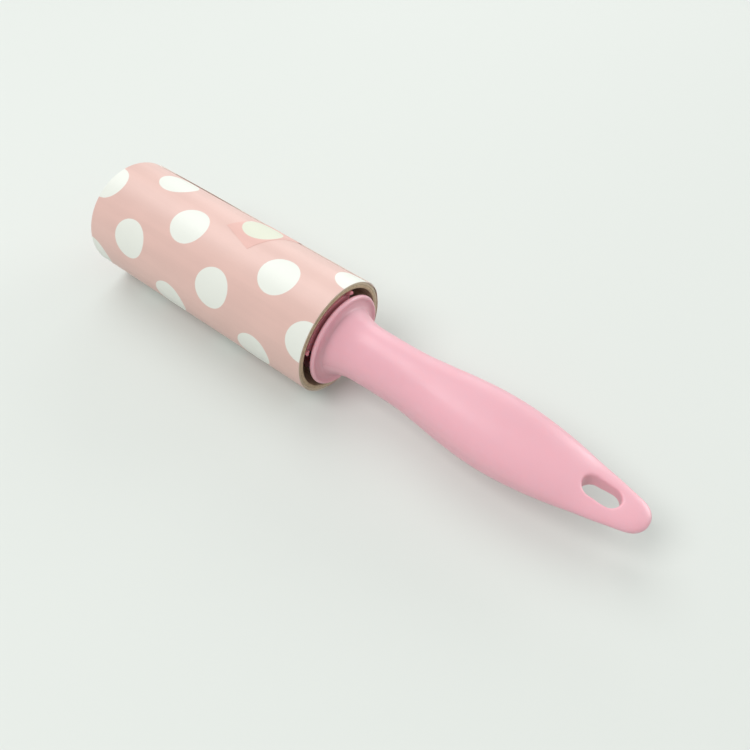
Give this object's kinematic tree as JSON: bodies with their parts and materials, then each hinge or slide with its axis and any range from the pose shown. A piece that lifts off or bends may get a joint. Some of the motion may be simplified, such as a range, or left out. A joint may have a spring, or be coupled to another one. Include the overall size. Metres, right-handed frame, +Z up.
{
  "type": "lint roller",
  "caption": "Hand-held lint roller: a hollow plastic handle with a hanging slot and a spindle, and a barrel that spins on it under a slide-on paper refill.",
  "frame": {"origin": "under the middle of the object's length, on the surface that the roll rests on", "axes": "+X along the roller's axis towards the handle's tip, +Z up, +Y to the left when looking along +X"},
  "size_m": [0.211, 0.0406, 0.0408],
  "materials": {
    "pink_plastic": "satin, slightly milky moulded plastic",
    "barrel_plastic": "satin moulded plastic",
    "paperboard": "uncoated spiral-wound board",
    "adhesive_paper": "wound adhesive sheets, edge on",
    "printed_cover": "matt paper printed with white dots on dusty pink",
    "clear_film": "clear, slightly yellow adhesive film"
  },
  "bodies": {
    "handle": {"handle_upper_shell": "pink_plastic", "handle_lower_shell": "pink_plastic", "spindle": "pink_plastic"},
    "roller": {"barrel_hub": "barrel_plastic", "grip_panel_upper": "barrel_plastic", "grip_panel_lower": "barrel_plastic", "barrel_end_cap": "barrel_plastic"},
    "refill": {"paper_core": "paperboard", "adhesive_roll": "adhesive_paper", "cover_sheet": "printed_cover", "seal_sticker": "clear_film"}
  },
  "joints": [
    {"name": "roller_spin", "type": "hinge", "parent": "handle", "child": "roller", "pos_m": [-0.0555, 0, 0.02031], "axis": [1, 0, 0], "continuous": true},
    {"name": "refill_slide", "type": "slide", "parent": "roller", "child": "refill", "axis": [-1, 0, 0], "range_m": [0, 0.115]}
  ]
}
